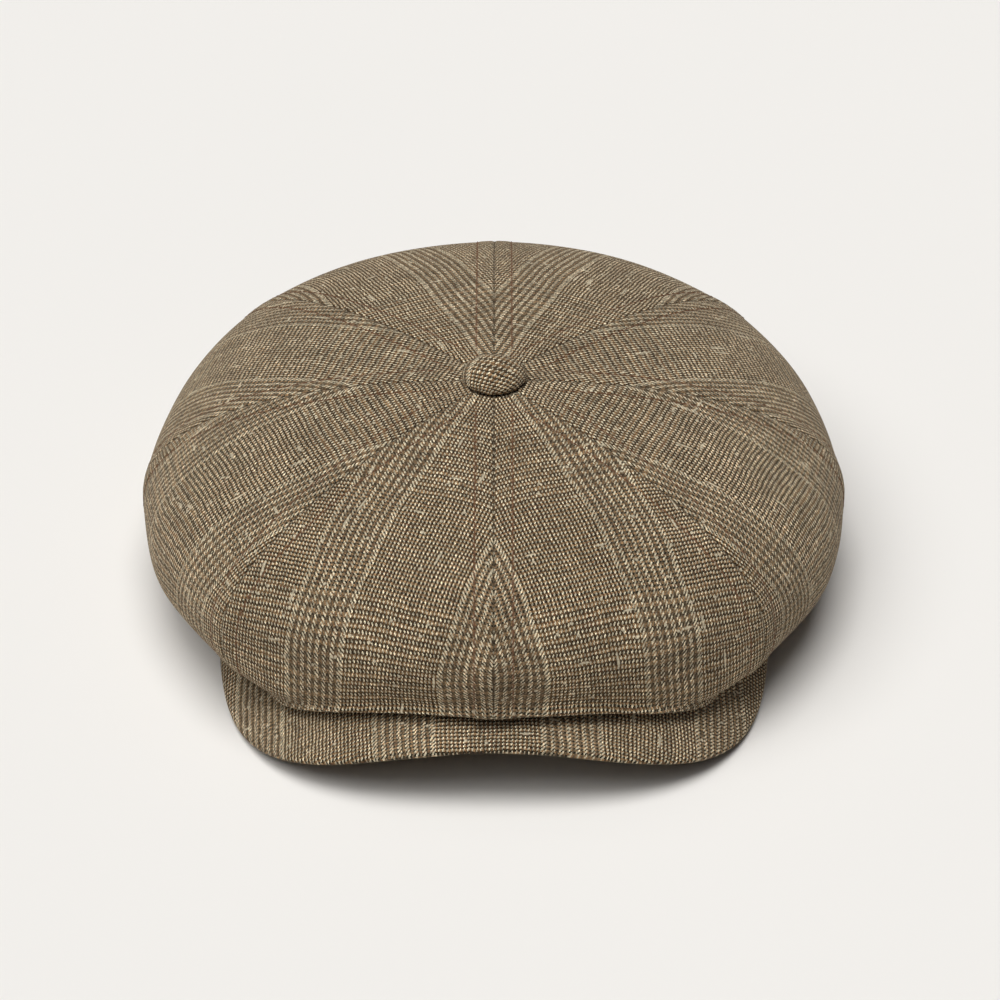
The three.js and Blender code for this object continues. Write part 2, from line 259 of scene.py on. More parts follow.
def crown_profile(angle, down):
    """Radius and height of the smooth crown: down runs from 0 at the button to 1 at the rim.

    These are the CAD's curves, with a bulge and a sag over the visor's corners."""
    ahead = np.where(np.cos(angle) > 0, CROWN_FRONT, CROWN_BACK)
    radius = superellipse(angle, ahead, CROWN_SIDE, CROWN_SQUARENESS)
    widest = round_the_crown(WIDEST_AT, angle)
    rim = rim_radius(angle)
    rim_at = rim_height(rim * np.cos(angle))
    fullness = round_the_crown(DOME_FULLNESS, angle)
    start = STALK_HOLE / (3 * fullness * radius)
    t = start + (1 - start) * np.minimum(down / DOME_SHARE, 1)
    shoulder = widest + (CROWN_TOP - widest) * SHOULDER_FULLNESS
    dome_radius = bezier(0, fullness * radius, radius, radius, t)
    dome_height = bezier(CROWN_TOP, CROWN_TOP, shoulder, widest, t)
    tuck = round_the_crown(TUCK_AT, angle)
    s = np.clip((down - DOME_SHARE) / (1 - DOME_SHARE), 0, 1)
    roll_height = widest + (tuck - widest) * ROLL_FULLNESS
    off_corner = (np.arccos(np.clip(np.cos(angle), -1, 1)) - CORNER_AT) / CORNER_SPREAD
    corner = np.exp(-(off_corner**2))
    bulge = CORNER_BULGE * corner
    sag = CORNER_SAG * corner
    tuck_radius = rim + (radius - rim) * TUCK_LENGTH + bulge
    roll_radius = bezier(radius, radius + 0.5 * bulge, tuck_radius, rim, s)
    roll_height = bezier(widest, roll_height - sag, tuck - sag, rim_at, s)
    is_dome = down < DOME_SHARE
    return np.where(is_dome, dome_radius, roll_radius), np.where(is_dome, dome_height, roll_height)


def smooth_crown(angle, down):
    radius, height = crown_profile(angle, down)
    return np.stack([radius * np.sin(angle), radius * np.cos(angle), height], -1)


def crown_normal(angle, down):
    """The outward direction of the smooth crown, as (across, forward, height)."""
    step = 0.01
    near = np.clip(down - step, 0, 1)
    far = np.clip(down + step, 0, 1)
    round_it = smooth_crown(angle + step, down) - smooth_crown(angle - step, down)
    along_it = smooth_crown(angle, far) - smooth_crown(angle, near)
    normal = np.cross(round_it, along_it)
    return normal / np.linalg.norm(normal, axis=-1, keepdims=True)


BROAD_DENTS = 0.9
SMALL_DENTS = 0.3
GATHERS = 0.5
ALLOWANCE = 7.0  # the seam allowances are pressed open and reach this far either side
ALLOWANCE_RISE = 0.25
STITCH_DEPTH = 0.3
STITCH_DIMPLE = 0.8
SEAM_GROOVE = 0.42
SEAM_GROOVE_WIDTH = 0.75
SHOULDER_RIDGE = 1.5  # the seams stand out this much where the crown turns under
SHOULDER_RIDGE_REACH = 12
FAR_FROM_SEAMS = 50.0


def crown_relief(angle, down, from_seam):
    """How far the cloth stands proud of the smooth crown, from_seam millimetres off a seam."""
    x = angle / TURN
    low_down = smoothstep(down, 0.25, 0.7)
    relief = BROAD_DENTS * (0.35 + 0.65 * low_down) * broad_dents(x, down)
    relief += SMALL_DENTS * (0.3 + low_down) * small_dents(x, down)
    relief += GATHERS * smoothstep(down, 0.6, 0.8) * gathers(x, down)
    relief += ALLOWANCE_RISE * (1 - smoothstep(from_seam, ALLOWANCE, ALLOWANCE + 1.2))
    relief -= STITCH_DEPTH * np.exp(-(((from_seam - ALLOWANCE) / STITCH_DIMPLE) ** 2))
    relief -= SEAM_GROOVE * np.exp(-((from_seam / SEAM_GROOVE_WIDTH) ** 2))
    shoulder = smoothstep(down, 0.3, DOME_SHARE) * (1 - smoothstep(down, 0.7, 0.9))
    relief += SHOULDER_RIDGE * shoulder * (np.exp(-from_seam / SHOULDER_RIDGE_REACH) - 0.3)
    past_button = smoothstep(down, 0.0, 0.03)
    return relief * past_button


def crown_surface(angle, down, from_seam, depth=0.0):
    """A point of the crown, `depth` millimetres under its outside."""
    normal = crown_normal(angle, down)
    point = smooth_crown(angle, down) + normal * crown_relief(angle, down, from_seam)[..., None]
    turned_under = smoothstep(down, DOME_SHARE, DOME_SHARE + 0.06)

    # The fold hangs over the visor as a lip.
    clear = point[..., 2] - lowest_over(point[..., 0], point[..., 1])
    lip = SIDE_LIP * smoothstep(np.cos(angle), *SIDE_LIP_AT)
    lip += (FOLD_LIP - SIDE_LIP) * smoothstep(np.cos(angle), *FOLD_LIP_AT)
    lip *= turned_under * np.exp(-(((clear - LIP_CLEAR) / LIP_WIDTH) ** 2))
    point[..., 0] += lip * np.sin(angle)
    point[..., 1] += lip * np.cos(angle)

    # The cloth rests on the visor, and behind it just clears the floor.
    rested = higher_of(point[..., 2], lowest_over(point[..., 0], point[..., 1]), 0.6)
    point[..., 2] = point[..., 2] * (1 - turned_under) + rested * turned_under
    point[..., 2] = higher_of(point[..., 2], JUST_OFF_FLOOR - LIFT, 0.8)
    return point - normal * depth


# ---- building meshes -----------------------------------------------------------------------------


def closed_sheet(name, outside, inside, weave, seams=None, loop=False, domed=False):
    """A closed slab between two grids of points in metres.

    weave holds the cloth coordinates of each grid point. A looped grid joins its last column
    to its first; a domed one is looped round a first row so small that a cap closes it."""
    rows, columns = outside.shape[:2]
    points = np.concatenate([outside.reshape(-1, 3), inside.reshape(-1, 3)])
    layer = rows * columns
    index = np.arange(layer).reshape(rows, columns)
    right = np.roll(index, -1, axis=1) if loop else index[:, 1:]
    left = index if loop else index[:, :-1]
    top = np.stack([left[:-1], right[:-1], right[1:], left[1:]], -1).reshape(-1, 4)
    bottom = top[:, ::-1] + layer

    def wall(edge):
        return np.stack([edge[1:], edge[:-1], edge[:-1] + layer, edge[1:] + layer], -1)

    first, last = index[0], index[-1][::-1]
    caps = []
    if domed:
        caps = [index[0][::-1], index[0] + layer]
        walls = [wall(np.append(last, last[0]))]
    elif loop:
        walls = [wall(np.append(first, first[0])), wall(np.append(last, last[0]))]
    else:
        walls = [wall(first), wall(last), wall(index[::-1, 0]), wall(index[:, -1])]
    walls = np.concatenate(walls)
    faces = np.concatenate([top, bottom, walls])
    if volume(points, faces) < 0:
        faces = faces[:, ::-1]
        caps = [cap[::-1] for cap in caps]
    mesh = bpy.data.meshes.new(name)
    mesh.from_pydata(points.tolist(), [], faces.tolist() + [cap.tolist() for cap in caps])
    smooth = np.ones(len(mesh.polygons), bool)
    smooth[len(top) + len(bottom):len(faces)] = False
    mesh.polygons.foreach_set("use_smooth", smooth)
    lay_cloth(mesh, np.concatenate([weave.reshape(-1, 2)] * 2))
    if seams is not None:
        attribute = mesh.attributes.new("seam_distance", "FLOAT", "POINT")
        attribute.data.foreach_set("value", np.tile(seams.reshape(-1), 2).astype(np.float32))
    mesh.update()
    return add_object(name, mesh)


def volume(points, quads):
    """The space that a closed mesh holds; it is negative where the faces look inwards."""
    a, b, c, d = (points[quads[:, k]] for k in range(4))
    halves = np.einsum("ij,ij->i", a, np.cross(b, c)) + np.einsum("ij,ij->i", a, np.cross(c, d))
    return halves.sum() / 6


def lay_cloth(mesh, cloth):
    """Gives the mesh its cloth coordinates, in threads, as the UV map `weave`."""
    corner_points = np.zeros(len(mesh.loops), np.int32)
    mesh.loops.foreach_get("vertex_index", corner_points)
    layer = mesh.uv_layers.new(name="weave")
    layer.data.foreach_set("uv", cloth[corner_points].astype(np.float32).ravel())


def add_object(name, mesh):
    piece = bpy.data.objects.new(name, mesh)
    bpy.context.scene.collection.objects.link(piece)
    return piece


def paint(piece, material):
    piece.data.materials.clear()
    piece.data.materials.append(material)


# ---- node materials ------------------------------------------------------------------------------


def linear(red, green, blue):
    """A colour given as 0 to 255 screen values, as Blender's linear RGBA."""
    def one(value):
        value /= 255
        return value / 12.92 if value <= 0.04045 else ((value + 0.055) / 1.055) ** 2.4
    return (one(red), one(green), one(blue), 1)


class Nodes:
    """Short ways to build a material's node tree."""

    def __init__(self, name):
        self.material = bpy.data.materials.new(name)
        self.material.use_nodes = True
        self.tree = self.material.node_tree
        self.tree.nodes.clear()
        self.output = self.tree.nodes.new("ShaderNodeOutputMaterial")
        self.shader = self.tree.nodes.new("ShaderNodeBsdfPrincipled")
        self.tree.links.new(self.shader.outputs[0], self.output.inputs["Surface"])

    def put(self, socket, value):
        if isinstance(value, bpy.types.NodeSocket):
            self.tree.links.new(value, socket)
        elif socket.type == "VECTOR" and value is not None:
            socket.default_value = value[:3]
        elif value is not None:
            socket.default_value = value

    def math(self, operation, a, b=None, c=None):
        node = self.tree.nodes.new("ShaderNodeMath")
        node.operation = operation
        for socket, value in zip(node.inputs, (a, b, c)):
            self.put(socket, value)
        return node.outputs[0]

    def mix(self, share, a, b):
        node = self.tree.nodes.new("ShaderNodeMix")
        node.data_type = "RGBA"
        self.put(node.inputs[0], share)
        self.put(node.inputs[6], a)
        self.put(node.inputs[7], b)
        return node.outputs[2]

    def scaled(self, colour, amount):
        """The colour times a number."""
        node = self.tree.nodes.new("ShaderNodeVectorMath")
        node.operation = "SCALE"
        self.put(node.inputs[0], colour)
        self.put(node.inputs["Scale"], amount)
        return node.outputs[0]

    def vector(self, x, y, z=0.0):
        node = self.tree.nodes.new("ShaderNodeCombineXYZ")
        for socket, value in zip(node.inputs, (x, y, z)):
            self.put(socket, value)
        return node.outputs[0]

    def cloth(self):
        """The across-the-cloth and along-the-cloth coordinates, in threads."""
        uv = self.tree.nodes.new("ShaderNodeUVMap")
        uv.uv_map = "weave"
        split = self.tree.nodes.new("ShaderNodeSeparateXYZ")
        self.put(split.inputs[0], uv.outputs[0])
        return split.outputs[0], split.outputs[1]

    def place(self):
        return self.tree.nodes.new("ShaderNodeTexCoord").outputs["Object"]

    def attribute(self, name):
        node = self.tree.nodes.new("ShaderNodeAttribute")
        node.attribute_name = name
        return node.outputs["Fac"]

    def noise(self, vector, scale, detail=2.0):
        node = self.tree.nodes.new("ShaderNodeTexNoise")
        self.put(node.inputs["Vector"], vector)
        node.inputs["Scale"].default_value = scale
        node.inputs["Detail"].default_value = detail
        return node.outputs[0]

    def roundness(self, coordinate):
        """1 along the middle of each whole-number thread, falling to 0 at its sides."""
        side = self.math("MULTIPLY_ADD", self.math("FRACT", coordinate), 2.0, -1.0)
        return self.math("SUBTRACT", 1.0, self.math("MULTIPLY", side, side))

    def random(self, vector):
        """A number from 0 to 1 that is the same all over one whole-number cell."""
        node = self.tree.nodes.new("ShaderNodeTexWhiteNoise")
        node.noise_dimensions = "3D"
        self.put(node.inputs["Vector"], vector)
        return node.outputs["Value"]

    def ramp(self, value, low, high, to_low=0.0, to_high=1.0):
        node = self.tree.nodes.new("ShaderNodeMapRange")
        node.interpolation_type = "SMOOTHSTEP"
        for socket, number in zip(node.inputs, (value, low, high, to_low, to_high)):
            self.put(socket, number)
        return node.outputs[0]

    def bump(self, height, distance, strength=1.0):
        node = self.tree.nodes.new("ShaderNodeBump")
        node.inputs["Strength"].default_value = strength
        node.inputs["Distance"].default_value = distance
        self.put(node.inputs["Height"], height)
        self.put(self.shader.inputs["Normal"], node.outputs[0])

    def finish(self, colour, roughness, **uniform):
        self.put(self.shader.inputs["Base Color"], colour)
        self.put(self.shader.inputs["Roughness"], roughness)
        for name, value in uniform.items():
            self.shader.inputs[name.replace("_", " ")].default_value = value
        return self.material


THREAD = (0.37, 0.455)  # millimetres from one warp thread to the next, and one weft thread
CHECK_ACROSS = (60, 162)  # threads in a four-and-four stripe of the warp, and in its repeat
CHECK_ALONG = (96, 204)  # the same in the weft
CREAM = linear(223, 210, 179)
BROWN = linear(90, 69, 47)
TAN = linear(152, 120, 84)
DARK = linear(41, 37, 27)
RUST = linear(116, 80, 56)
SLUB = linear(218, 205, 176)
DARK_SLUB = linear(58, 42, 30)
# painted shade for the cloth in the seams' grooves
PAINTED_SEAM_SHADE = linear(38, 31, 22)
BAND_THREAD = linear(120, 100, 76)
FIBRE_ENDS = linear(215, 195, 170)
# The kinds of slub: size in threads, the share of the cloth's cells that hold one, and a seed.
LIGHT_SLUBS = (((4.0, 3.6), 0.013, 1.0), ((3.0, 19.0), 0.006, 2.0), ((14.0, 2.6), 0.004, 6.0))
DARK_SLUBS = ((5.0, 3.5), 0.004, 4.0)


def yarn_is_light(n, number, check):
    """1 where a thread is light: four and four within the stripe, two and two beyond it."""
    wide, repeat = check
    within = n.math("FLOORED_MODULO", number, repeat)
    by_four = n.math("LESS_THAN", n.math("FLOORED_MODULO", within, 8.0), 4.0)
    by_two = n.math("LESS_THAN", n.math("FLOORED_MODULO", within, 4.0), 2.0)
    is_stripe = n.math("LESS_THAN", within, wide)
    by_four = n.math("MULTIPLY_ADD", by_four, 0.74, 0.13)  # the stripes are a little softer
    apart = n.math("SUBTRACT", by_four, by_two)
    return n.math("MULTIPLY_ADD", apart, is_stripe, by_two)


def uneven_yarn(n, number, along, seed):
    """Brightness of a thread: it varies from thread to thread and along each one."""
    thread = n.math("MULTIPLY_ADD", n.random(n.vector(number, seed)), 0.4, 0.8)
    run = n.noise(n.vector(number, n.math("MULTIPLY", along, 0.14), seed), 1.0, 1.0)
    run = n.math("MULTIPLY_ADD", run, 1.3, 0.35)
    bit = n.random(n.vector(number, n.math("FLOOR", n.math("MULTIPLY", along, 0.5)), seed + 0.5))
    return n.math("MULTIPLY", n.math("MULTIPLY", thread, run), n.math("MULTIPLY_ADD", bit, 1.0, 0.5))


def knots(n, u, v, size, share, seed):
    """1 in the middle of scattered slubs, falling to 0 at their edges."""
    across = n.math("DIVIDE", u, size[0])
    along = n.math("DIVIDE", v, size[1])
    cell = n.vector(n.math("FLOOR", across), n.math("FLOOR", along), seed)
    is_here = n.math("LESS_THAN", n.random(cell), share)
    side = n.math("MULTIPLY_ADD", n.math("FRACT", across), 2.0, -1.0)
    end = n.math("MULTIPLY_ADD", n.math("FRACT", along), 2.0, -1.0)
    far = n.math("ADD", n.math("MULTIPLY", side, side), n.math("MULTIPLY", end, end))
    return n.math("MULTIPLY", is_here, n.ramp(far, 0.95, 0.35))


def make_check_cloth(name, check_along):
    """Two-and-two twill: cream and brown warp, tan and near-black weft, here and there rusty."""
    n = Nodes(name)
    u, v = n.cloth()
    # The threads wander a little sideways.
    wander = n.vector(n.math("MULTIPLY", u, 0.1), n.math("MULTIPLY", v, 0.1))
    sway = n.vector(n.math("MULTIPLY", u, 0.1), n.math("MULTIPLY", v, 0.1), 9.0)
    u = n.math("MULTIPLY_ADD", n.noise(wander, 1.0, 2.0), 3.0, u)
    v = n.math("MULTIPLY_ADD", n.noise(sway, 1.0, 2.0), 3.0, v)
    warp, weft = n.math("FLOOR", u), n.math("FLOOR", v)
    sum_of_both = n.math("FLOORED_MODULO", n.math("ADD", warp, weft), 4.0)
    warp_on_top = n.math("LESS_THAN", sum_of_both, 2.0)

    def thread(number, along, check, dark, light, seed):
        colour = n.mix(yarn_is_light(n, number, check), dark, light)
        return n.scaled(colour, uneven_yarn(n, number, along, seed))

    dyed = n.noise(n.vector(weft, n.math("MULTIPLY", u, 0.03), 5.0), 1.0, 1.0)
    tan = n.mix(n.ramp(dyed, 0.52, 0.68), TAN, RUST)
    warp_colour = thread(warp, v, CHECK_ACROSS, BROWN, CREAM, 3.0)
    weft_colour = thread(weft, u, check_along, DARK, tan, 7.0)
    colour = n.mix(warp_on_top, weft_colour, warp_colour)

    round_warp = n.roundness(u)
    round_weft = n.roundness(v)
    apart = n.math("SUBTRACT", round_warp, round_weft)
    yarn_height = n.math("MULTIPLY_ADD", apart, warp_on_top, round_weft)
    # Painted shade: each thread darkens towards its sides, where it dips beside its neighbours.
    colour = n.scaled(colour, n.math("MULTIPLY_ADD", yarn_height, 0.4, 0.62))

    slubs = 0.0
    for kind in LIGHT_SLUBS:
        slubs = n.math("MAXIMUM", slubs, knots(n, u, v, *kind))
    dark_slubs = knots(n, u, v, *DARK_SLUBS)
    colour = n.mix(n.math("MULTIPLY", slubs, 0.7), colour, SLUB)
    colour = n.mix(n.math("MULTIPLY", dark_slubs, 0.7), colour, DARK_SLUB)

    # Painted shade darkens the cloth in each seam's groove, and the seams' stitching tints the cloth
    # beside it.
    seam = n.attribute("seam_distance")
    colour = n.mix(n.ramp(seam, 0.7, 0.1, 0.0, 0.5), colour, PAINTED_SEAM_SHADE)
    off_row = n.math("ABSOLUTE", n.math("SUBTRACT", seam, ALLOWANCE))
    colour = n.mix(n.ramp(off_row, 0.75, 0.2, 0.0, 0.3), colour, RUST)
    tone = n.noise(n.place(), 60.0, 4.0)
    colour = n.scaled(colour, n.ramp(tone, 0.3, 0.7, 0.88, 1.12))
    fuzz = n.noise(n.place(), 1500.0, 2.0)
    colour = n.scaled(colour, n.ramp(fuzz, 0.25, 0.75, 0.7, 1.3))
    height = n.math("ADD", yarn_height, n.math("MULTIPLY", slubs, 2.5))
    n.bump(height, 0.00012, 0.7)
    return n.finish(colour, 0.92, Specular_IOR_Level=0.12, Sheen_Weight=0.22, Sheen_Roughness=0.5,
                    Sheen_Tint=FIBRE_ENDS)


def make_satin():
    """The lining: dark brown satin with fine threads across it."""
    n = Nodes("lining_satin")
    u, v = n.cloth()
    fine = n.noise(n.vector(n.math("MULTIPLY", u, 0.9), n.math("MULTIPLY", v, 0.06)), 2.0, 2.0)
    soft = n.noise(n.place(), 40.0, 2.0)
    colour = n.mix(fine, linear(70, 54, 40), linear(98, 78, 58))
    colour = n.scaled(colour, n.ramp(soft, 0.2, 0.8, 0.85, 1.1))
    n.bump(fine, 0.0001, 0.4)
    roughness = n.ramp(fine, 0.2, 0.8, 0.34, 0.5)
    return n.finish(colour, roughness, Specular_IOR_Level=0.5, Anisotropic=0.5, Sheen_Weight=0.1)


def make_band_cotton():
    """The sweatband: near-black ribbed cotton."""
    n = Nodes("ribbed_cotton")
    u, v = n.cloth()
    rib = n.roundness(n.math("MULTIPLY", u, 0.5))
    height = n.math("MULTIPLY_ADD", n.roundness(v), 0.3, rib)
    # Painted shade: the cotton is darker in the grooves between the ribs and lighter on their tops.
    colour = n.mix(n.math("MULTIPLY", height, 0.7), linear(30, 25, 21), linear(66, 57, 48))
    n.bump(height, 0.0002, 0.7)
    return n.finish(colour, 0.85, Specular_IOR_Level=0.2, Sheen_Weight=0.25)


def make_label_weave():
    """The blank size label: cream ribbon with a woven border."""
    n = Nodes("label_ribbon")
    u, v = n.cloth()
    rib = n.math("FRACT", v)
    grain = n.noise(n.vector(u, v), 1.5, 2.0)
    shade = n.math("MULTIPLY_ADD", grain, 0.6, 0.2)
    colour = n.mix(shade, linear(205, 195, 176), linear(236, 228, 212))
    border = n.ramp(n.attribute("seam_distance"), 1.4, 1.1)
    colour = n.mix(n.math("MULTIPLY", border, 0.5), colour, linear(150, 134, 108))
    n.bump(rib, 0.0001, 0.5)
    return n.finish(colour, 0.75, Specular_IOR_Level=0.25)


def make_thread(name, colour):
    """Sewing thread: twisted, with a slight shine."""
    n = Nodes(name)
    grain = n.noise(n.place(), 2500.0, 2.0)
    twist = n.ramp(grain, 0.3, 0.7, 0.75, 1.15)
    n.bump(grain, 0.00005, 0.5)
    return n.finish(n.scaled(colour, twist), 0.7, Specular_IOR_Level=0.3)


def make_board_plastic():
    """The visor's stiffener: moulded sheet with a fine matt grain."""
    n = Nodes("board_sheet")
    grain = n.noise(n.place(), 900.0, 3.0)
    cloudy = n.noise(n.place(), 30.0, 2.0)
    colour = n.mix(cloudy, linear(206, 200, 188), linear(222, 218, 208))
    n.bump(grain, 0.00006, 0.4)
    return n.finish(colour, n.ramp(grain, 0.3, 0.7, 0.6, 0.78), Specular_IOR_Level=0.4)


def make_button_steel():
    """Dull plated steel with turned marks and a little wear."""
    n = Nodes("plated_steel")
    marks = n.noise(n.place(), 1500.0, 3.0)
    worn = n.noise(n.place(), 180.0, 3.0)
    colour = n.mix(worn, linear(150, 148, 142), linear(190, 189, 184))
    n.bump(marks, 0.00002, 0.4)
    return n.finish(colour, n.ramp(worn, 0.3, 0.7, 0.3, 0.5), Metallic=1.0)


# ---- gores ---------------------------------------------------------------------------------------

GORES = ("front_left", "front_side_left", "rear_side_left", "rear_left",
         "rear_right", "rear_side_right", "front_side_right", "front_right")
# Where the middle of each kind of gore lies in the check, in threads across the warp.
CHECK_SHIFT = {"front": -8, "front_side": 111, "rear_side": 111, "rear": -8}
CHECK_START = -62  # thread of the weft that lies at the button
REPEATS_APART = 8  # each gore is cut this many repeats further along and across the cloth

# Millimetres from a seam to the grid's columns: closest in its groove and along its stitching.
SEAM_COLUMNS = np.array([0, 0.25, 0.5, 0.8, 1.2, 1.8, 2.8, 4, 5, 5.7, 6.2, 6.6,
                         7, 7.4, 7.8, 8.4, 9.4, 11])
INNER_COLUMNS = 30
DOME_ROWS = 90
ROLL_ROWS = 100


def gore_columns(half_width):
    """Distances from one seam to the other, close together beside each seam."""
    squeeze = min(1, half_width / (1.5 * SEAM_COLUMNS[-1]))
    near = SEAM_COLUMNS * squeeze
    inner = np.linspace(near[-1], 2 * half_width - near[-1], INNER_COLUMNS)
    far = 2 * half_width - near[::-1]
    return np.concatenate([near, inner[1:-1], far])


def arc_lengths(points):
    steps = np.linalg.norm(np.diff(points, axis=0), axis=-1)
    return np.concatenate([[0], np.cumsum(steps)])


def down_rows():
    dome = np.linspace(0, DOME_SHARE, DOME_ROWS, endpoint=False)
    roll = np.linspace(DOME_SHARE, 1, ROLL_ROWS)
    return np.concatenate([dome, roll])


def gore_grid(index):
    """Angle, down, distance from the nearest seam and cloth coordinates of a gore's points."""
    rows = down_rows()
    middle = (index + 0.5) * SECTOR
    fine = np.linspace(index * SECTOR, (index + 1) * SECTOR, 61)
    along = arc_lengths(smooth_crown(np.full_like(rows, middle), rows))
    angles, seam_distance, across, half_widths = [], [], [], []
    for down in rows:
        width = arc_lengths(smooth_crown(fine, np.full_like(fine, down)))
        half = width[-1] / 2
        at = gore_columns(half)
        angles.append(np.interp(at, width, fine))
        seam_distance.append(np.minimum(at, 2 * half - at))
        across.append(at - half)
        half_widths.append(half)
    angles, seam_distance, across = map(np.array, (angles, seam_distance, across))
    down = np.repeat(rows[:, None], angles.shape[1], axis=1)
    # The cloth is flat and its seams lean by this much, so its straight threads sag or rise
    # towards the seams.
    half_widths = np.array(half_widths)[:, None]
    lean = np.arctan(np.gradient(half_widths[:, 0], along))[:, None]
    sag = half_widths * np.tan(lean / 2) * (across / half_widths) ** 2
    straight = across * np.sinc(lean / math.pi)
    return angles, down, seam_distance, np.stack([straight, along[:, None] - sag], -1)


def threads(cloth, shift):
    """Cloth coordinates in threads, with the small drift that real cloth has."""
    across, along = cloth[..., 0], cloth[..., 1]
    drift = 0.5 * np.sin(along / 19 + across / 31) + 0.35 * np.sin(along / 7.3 - across / 11)
    sway = 0.6 * np.sin(across / 17 + along / 41) + 0.35 * np.sin(across / 6.1 + along / 15)
    return np.stack([across + drift, along + sway], -1) / THREAD + shift


def follow(piece, crosses_joint):
    if crosses_joint:
        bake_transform(piece)
    else:
        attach(piece, "crown")


def make_gore(name, grid, weave, cloth_material):
    angle, down, from_seam = grid
    outside = crown_surface(angle, down, from_seam)
    inside = crown_surface(angle, down, from_seam, SHELL_THICK)
    gore = closed_sheet(f"gore_{name}", metres(outside), metres(inside), weave, from_seam)
    paint(gore, cloth_material)
    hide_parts(f"panel_{name}")
    follow(gore, name.startswith("front"))


def make_lining_piece(name, grid, weave, satin):
    """The lining follows its gore, a little looser; it needs only some of the gore's points."""
    angle, down, from_seam = grid
    some = (slice(0, -4, 2), slice(None, None, 3))
    ruffle = LINING_SLACK * small_dents(angle / TURN * 2, down)
    slack = crown_normal(angle, down) * (LINING_SLACK + ruffle)[..., None]
    top = crown_surface(angle, down, from_seam, SHELL_THICK + LINING_GAP) - slack
    base = crown_surface(angle, down, from_seam, SHELL_THICK + LINING_GAP + LINING_THICK) - slack
    lining = closed_sheet(f"lining_piece_{name}", metres(top)[some], metres(base)[some], weave[some])
    paint(lining, satin)
    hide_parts(f"lining_{name}")
    follow(lining, name.startswith("front"))


def make_gores(cloth_material, satin):
    for index, name in enumerate(GORES):
        kind, hand = name.rsplit("_", 1)
        angle, down, from_seam, cloth = gore_grid(index)
        if hand == "right":
            cloth = cloth * (-1, 1)
        weave = threads(cloth, (CHECK_SHIFT[kind], CHECK_START))
        weave += index * REPEATS_APART * np.array([CHECK_ACROSS[1], CHECK_ALONG[1]])
        grid = (angle, down, from_seam)
        make_gore(name, grid, weave, cloth_material)
        make_lining_piece(name, grid, weave, satin)


# ---- stitches ------------------------------------------------------------------------------------


def stitches(name, starts, ends, outward, thickness):
    """One mesh of sewing stitches, each a flattened loop of thread from start to end."""
    sides = 6
    rings = np.array([0.0, 0.12, 0.5, 0.88, 1.0])
    girth = np.array([0.35, 0.9, 1.0, 0.9, 0.35])
    rise = np.array([-0.7, 0.0, 0.35, 0.0, -0.7])
    turn = np.arange(sides) * TURN / sides
    count = len(starts)
    along = ends - starts
    along /= np.linalg.norm(along, axis=-1, keepdims=True)
    aside = np.cross(along, outward)
    points = np.zeros((count, len(rings), sides, 3))
    for r, (t, g, up) in enumerate(zip(rings, girth, rise)):
        centre = starts + (ends - starts) * t + outward * up * thickness
        for s, a in enumerate(turn):
            offset = aside * math.cos(a) + outward * math.sin(a) * 0.8
            points[:, r, s] = centre + offset * g * thickness / 2
    ring_index = np.arange(len(rings) * sides).reshape(len(rings), sides)
    following = np.roll(ring_index, -1, axis=1)
    tube = np.stack([ring_index[:-1], following[:-1], following[1:], ring_index[1:]], -1)
    tube = tube.reshape(-1, 4)
    per_stitch = len(rings) * sides
    firsts = np.arange(count) * per_stitch
    quads = (tube[None] + firsts[:, None, None]).reshape(-1, 4).tolist()
    start_caps = (firsts[:, None] + ring_index[0][::-1]).tolist()
    end_caps = (firsts[:, None] + ring_index[-1]).tolist()
    mesh = bpy.data.meshes.new(name)
    mesh.from_pydata((points.reshape(-1, 3) * MM).tolist(), [], quads + start_caps + end_caps)
    mesh.polygons.foreach_set("use_smooth", np.ones(len(mesh.polygons), bool))
    mesh.update()
    return add_object(name, mesh)


STITCH_LENGTH = 2.6
STITCH_GAP = 0.7
STITCH_THICK = 0.44
STITCH_PROUD = 0.05


def places_along(path, at):
    """The points of a path at the given distances from its start."""
    length = arc_lengths(path)
    return np.stack([np.interp(at, length, path[:, k]) for k in range(3)], -1)


def seam_stitches(thread):
    """The two rows of stitching beside each crown seam."""
    rows = np.linspace(0.045, 0.93, 1200)
    for seam in range(PANELS):
        starts, ends, outward = [], [], []
        for side in (-1, 1):
            seam_angle = seam * SECTOR
            radius = np.maximum(crown_profile(np.full_like(rows, seam_angle), rows)[0], 1)
            offset = np.minimum(ALLOWANCE, 0.36 * radius)
            angle = seam_angle + side * offset / radius
            path = crown_surface(angle, rows, offset) + crown_normal(angle, rows) * STITCH_PROUD
            length = arc_lengths(path)
            first = np.arange(0, length[-1] - STITCH_LENGTH, STITCH_LENGTH + STITCH_GAP)
            starts.append(places_along(path, first))
            ends.append(places_along(path, first + STITCH_LENGTH))
            down = np.interp(first, length, rows)
            outward.append(crown_normal(np.interp(down, rows, angle), down))
        starts, ends, outward = map(np.concatenate, (starts, ends, outward))
        piece = stitches(f"seam_stitches_{seam}", in_frame(starts), in_frame(ends),
                         frame_direction(outward), STITCH_THICK)
        paint(piece, thread)
        follow(piece, seam in (0, 1, 7))


# ---- visor ---------------------------------------------------------------------------------------

SEAM_OFF_RIM = 0.8


def visor_plan(turn, out):
    """A place in the visor's plan: turn runs -1 to 1 along it and out 0 to 1 from seam to edge."""
    seam_angle = turn * VISOR_SEAM_HALF
    seam_radius = rim_radius(seam_angle) + SEAM_OFF_RIM
    plan_angle = turn * VISOR_PLAN_HALF
    plan_radius = visor_plan_radius(plan_angle)
    into_horn = np.clip((np.abs(turn) - HORN_STARTS) / (1 - HORN_STARTS), 0, 1)
    width = HORN_WIDTH + (1 - HORN_WIDTH) * np.sqrt(1 - into_horn**2)
    share = out * width
    across = seam_radius * np.sin(seam_angle) * (1 - share) + plan_radius * np.sin(plan_angle) * share
    ahead = plan_radius * np.cos(plan_angle) + VISOR_WIDEST
    forward = seam_radius * np.cos(seam_angle) * (1 - share) + ahead * share
    return across, forward


